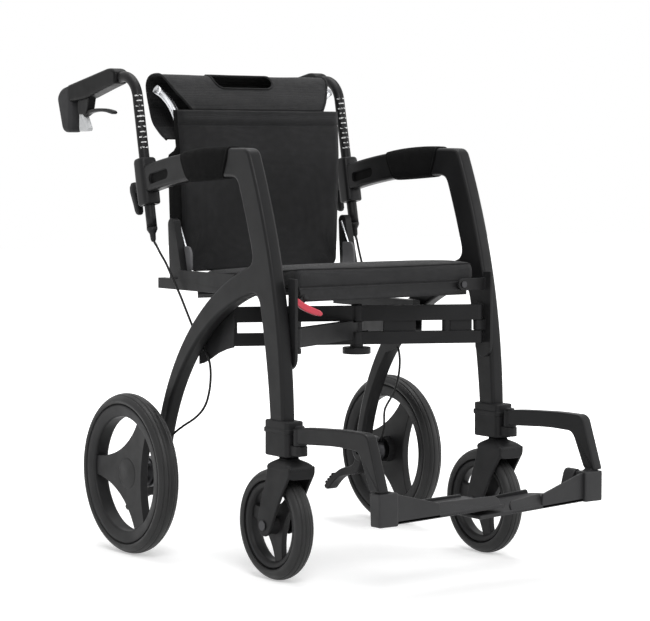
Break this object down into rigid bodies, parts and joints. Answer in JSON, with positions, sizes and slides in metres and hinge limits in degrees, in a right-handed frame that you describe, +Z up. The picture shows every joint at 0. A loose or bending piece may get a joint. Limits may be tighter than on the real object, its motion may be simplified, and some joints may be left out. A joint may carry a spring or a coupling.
{
  "type": "rollator transport chair",
  "caption": "Folding walker and transport chair: curved side frames on a scissor, sling back, hinged seat, height-set push handles, swinging footrests.",
  "frame": {"origin": "on the floor, below the middle of the chair's outline seen from above", "axes": "+X to the sitter's left, -Y forwards, +Z up"},
  "size_m": [0.654, 1.057, 0.909],
  "materials": {
    "frame": "satin",
    "plastic": "matte",
    "foam": "matte",
    "rubber": "matte",
    "tyre": "matte",
    "alloy": "satin",
    "steel": "satin",
    "grip": "matte",
    "fabric": "woven",
    "red": "gloss"
  },
  "bodies": {
    "left_frame": {"left_front_leg": "frame", "left_armrest": "frame", "left_armrest_sleeve": "foam", "left_rear_arch": "frame", "left_hinge_bracket": "plastic", "left_back_post": "plastic", "left_back_tube": "alloy", "left_footrest_holder": "plastic", "left_rear_axle": "steel", "left_step_pedal": "plastic", "left_brake_cable": "rubber", "seat_hinge_pins": "steel", "backrest_panel": "fabric", "backrest_hood": "fabric"},
    "right_frame": {"right_front_leg": "frame", "right_armrest": "frame", "right_armrest_sleeve": "foam", "right_rear_arch": "frame", "right_hinge_bracket": "plastic", "right_back_post": "plastic", "right_back_tube": "alloy", "right_footrest_holder": "plastic", "right_rear_axle": "steel", "right_step_pedal": "plastic", "right_brake_cable": "rubber"},
    "double_arm": {"scissor_double_arm": "frame", "centre_pin": "steel"},
    "single_arm": {"scissor_single_arm": "frame"},
    "seat": {"seat_board": "plastic", "seat_cushion": "fabric"},
    "seat_release": {"release_lever": "red"},
    "left_caster": {"left_caster_fork": "plastic", "left_caster_axle": "steel"},
    "left_caster_wheel": {"left_caster_rim": "plastic", "left_caster_tyre": "tyre"},
    "left_rear_wheel": {"left_rear_rim": "plastic", "left_rear_tyre": "tyre", "left_rear_bearings": "steel"},
    "left_handle": {"left_handle_tube": "frame", "left_handle_body": "plastic", "left_hand_grip": "grip"},
    "left_brake": {"left_brake_lever": "alloy"},
    "left_clamp": {"left_clamp_lever": "plastic"},
    "left_hanger": {"left_footrest_hanger": "frame"},
    "left_foot": {"left_footplate": "plastic"},
    "right_caster": {"right_caster_fork": "plastic", "right_caster_axle": "steel"},
    "right_caster_wheel": {"right_caster_rim": "plastic", "right_caster_tyre": "tyre"},
    "right_rear_wheel": {"right_rear_rim": "plastic", "right_rear_tyre": "tyre", "right_rear_bearings": "steel"},
    "right_handle": {"right_handle_tube": "frame", "right_handle_body": "plastic", "right_hand_grip": "grip"},
    "right_brake": {"right_brake_lever": "alloy"},
    "right_clamp": {"right_clamp_lever": "plastic"},
    "right_hanger": {"right_footrest_hanger": "frame"},
    "right_foot": {"right_footplate": "plastic"}
  },
  "joints": [
    {"name": "fold", "type": "hinge", "parent": "left_frame", "child": "double_arm", "pos_m": [0.205, -0.2365, 0.43], "axis": [0, 0, -1], "range_deg": [0, 42], "deforming": ["backrest_panel", "backrest_hood"]},
    {"name": "cross_pivot", "type": "hinge", "parent": "double_arm", "child": "single_arm", "pos_m": [0, -0.1365, 0.43], "axis": [0, 0, 1], "range_deg": [0, 84.01]},
    {"name": "right_frame_pivot", "type": "hinge", "parent": "single_arm", "child": "right_frame", "pos_m": [-0.205, -0.2365, 0.43], "axis": [0, 0, -1], "range_deg": [0, 42.01]},
    {"name": "seat_flip", "type": "hinge", "parent": "left_frame", "child": "seat", "pos_m": [0.165, -0.2365, 0.506], "axis": [0, 1, 0], "range_deg": [0, 90.01]},
    {"name": "release_pull", "type": "hinge", "parent": "seat", "child": "seat_release", "pos_m": [-0.186, -0.2365, 0.494], "axis": [0, 1, 0], "range_deg": [0, 25], "stiffness_Nm_per_rad": 0.2},
    {"name": "left_footplate_flip", "type": "hinge", "parent": "left_hanger", "child": "left_foot", "pos_m": [0.214, -0.4865, 0.181], "axis": [0, 1, 0], "range_deg": [0, 67.51]},
    {"name": "left_hanger_swing", "type": "hinge", "parent": "left_frame", "child": "left_hanger", "pos_m": [0.236, -0.2925, 0.26], "axis": [0, 0, 1], "range_deg": [0, 90.01]},
    {"name": "left_caster_swivel", "type": "hinge", "parent": "left_frame", "child": "left_caster", "pos_m": [0.236, -0.2585, 0.23], "axis": [0, 0, 1], "continuous": true},
    {"name": "left_caster_roll", "type": "hinge", "parent": "left_caster", "child": "left_caster_wheel", "pos_m": [0.236, -0.2195, 0.098], "axis": [1, 0, 0], "continuous": true},
    {"name": "left_rear_roll", "type": "hinge", "parent": "left_frame", "child": "left_rear_wheel", "pos_m": [0.306, 0.16094, 0.15], "axis": [1, 0, 0], "continuous": true},
    {"name": "left_handle_height", "type": "slide", "parent": "left_frame", "child": "left_handle", "axis": [0, 0.1968, 0.9804], "range_m": [-0.1, 0.05], "deforming": ["left_brake_cable"]},
    {"name": "left_brake_squeeze", "type": "hinge", "parent": "left_handle", "child": "left_brake", "pos_m": [0.236, 0.4135, 0.862], "axis": [-1, 0, 0], "range_deg": [-15, 12], "stiffness_Nm_per_rad": 0.6},
    {"name": "left_clamp_release", "type": "hinge", "parent": "left_frame", "child": "left_clamp", "pos_m": [0.236, 0.2495, 0.681], "axis": [1, 0, 0], "range_deg": [0, 110]},
    {"name": "right_footplate_flip", "type": "hinge", "parent": "right_hanger", "child": "right_foot", "pos_m": [-0.214, -0.4865, 0.181], "axis": [0, -1, 0], "range_deg": [0, 90]},
    {"name": "right_hanger_swing", "type": "hinge", "parent": "right_frame", "child": "right_hanger", "pos_m": [-0.236, -0.2925, 0.26], "axis": [0, 0, -1], "range_deg": [0, 90.01]},
    {"name": "right_caster_swivel", "type": "hinge", "parent": "right_frame", "child": "right_caster", "pos_m": [-0.236, -0.2585, 0.23], "axis": [0, 0, 1], "continuous": true},
    {"name": "right_caster_roll", "type": "hinge", "parent": "right_caster", "child": "right_caster_wheel", "pos_m": [-0.236, -0.2195, 0.098], "axis": [1, 0, 0], "continuous": true},
    {"name": "right_rear_roll", "type": "hinge", "parent": "right_frame", "child": "right_rear_wheel", "pos_m": [-0.306, 0.16094, 0.15], "axis": [1, 0, 0], "continuous": true},
    {"name": "right_handle_height", "type": "slide", "parent": "right_frame", "child": "right_handle", "axis": [0, 0.1968, 0.9804], "range_m": [-0.1, 0.05], "deforming": ["right_brake_cable"]},
    {"name": "right_brake_squeeze", "type": "hinge", "parent": "right_handle", "child": "right_brake", "pos_m": [-0.236, 0.4135, 0.862], "axis": [-1, 0, 0], "range_deg": [-15, 12], "stiffness_Nm_per_rad": 0.6},
    {"name": "right_clamp_release", "type": "hinge", "parent": "right_frame", "child": "right_clamp", "pos_m": [-0.236, 0.2495, 0.681], "axis": [1, 0, 0], "range_deg": [0, 110]}
  ],
  "couplings": [
    {"joint": "cross_pivot", "follows": "fold", "ratio": 2},
    {"joint": "right_frame_pivot", "follows": "fold", "ratio": 1},
    {"joint": "seat_flip", "follows": "fold", "ratio": 2.1429},
    {"joint": "left_hanger_swing", "follows": "fold", "ratio": 2.1429},
    {"joint": "right_hanger_swing", "follows": "fold", "ratio": 2.1429},
    {"joint": "left_footplate_flip", "follows": "right_footplate_flip", "ratio": 0.75}
  ]
}
